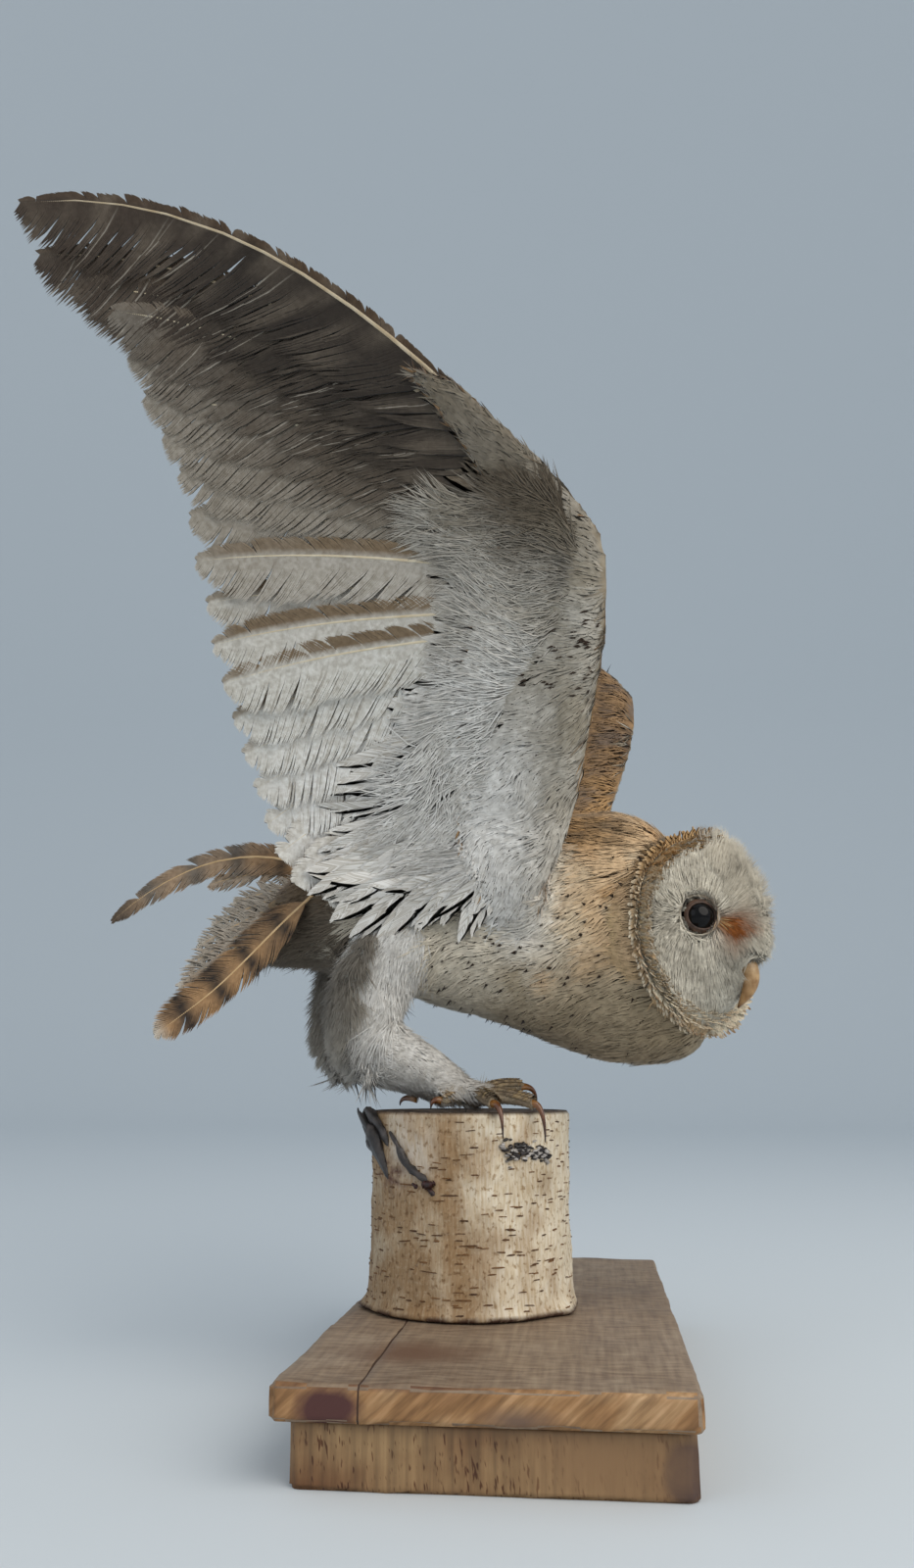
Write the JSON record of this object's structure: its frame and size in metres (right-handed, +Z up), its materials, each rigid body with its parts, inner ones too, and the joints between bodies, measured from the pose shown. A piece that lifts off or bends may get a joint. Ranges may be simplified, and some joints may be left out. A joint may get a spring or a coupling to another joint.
{
  "type": "taxidermy barn owl mount",
  "caption": "Taxidermy barn owl, wings raised and head lowered, standing on a birch log on a two-layer wooden base.",
  "frame": {"origin": "centre of the flat underside of the wooden base", "axes": "+Z up; +X runs to the owl's front, across the base's short side; +Y runs along the base's long side, away from the owl's right wing"},
  "size_m": [0.3351, 0.3765, 0.5008],
  "materials": {
    "plumage_pale": "soft off-white feathers",
    "plumage_buff": "soft golden-buff feathers",
    "flight_feathers": "thin matt vanes",
    "horn": "polished brown horn",
    "toe_skin": "scaly grey-brown skin",
    "glass_eye": "black glass",
    "birch_log": "birch bark",
    "base_plate_wood": "worn waxed wood",
    "base_block_wood": "plain planed wood"
  },
  "bodies": {
    "root": {"trunk": "plumage_pale", "head": "plumage_pale", "right_thigh": "plumage_pale", "left_thigh": "plumage_pale", "right_shank": "plumage_pale", "left_shank": "plumage_pale", "right_wing_arm": "plumage_pale", "left_wing_arm": "plumage_pale", "right_wing_hand": "plumage_pale", "left_wing_hand": "plumage_pale", "neck": "plumage_buff", "right_primaries": "flight_feathers", "right_secondaries": "flight_feathers", "right_tertials": "flight_feathers", "left_primaries": "flight_feathers", "left_secondaries": "flight_feathers", "left_tertials": "flight_feathers", "tail_left": "flight_feathers", "tail_right": "flight_feathers", "upper_bill": "horn", "lower_bill": "horn", "right_outer_claw": "horn", "right_middle_claw": "horn", "right_inner_claw": "horn", "right_hind_claw": "horn", "left_outer_claw": "horn", "left_middle_claw": "horn", "left_inner_claw": "horn", "left_hind_claw": "horn", "right_foot": "toe_skin", "left_foot": "toe_skin", "right_eye": "glass_eye", "left_eye": "glass_eye", "log": "birch_log", "base_plate": "base_plate_wood", "base_block": "base_block_wood"}
  },
  "joints": []
}
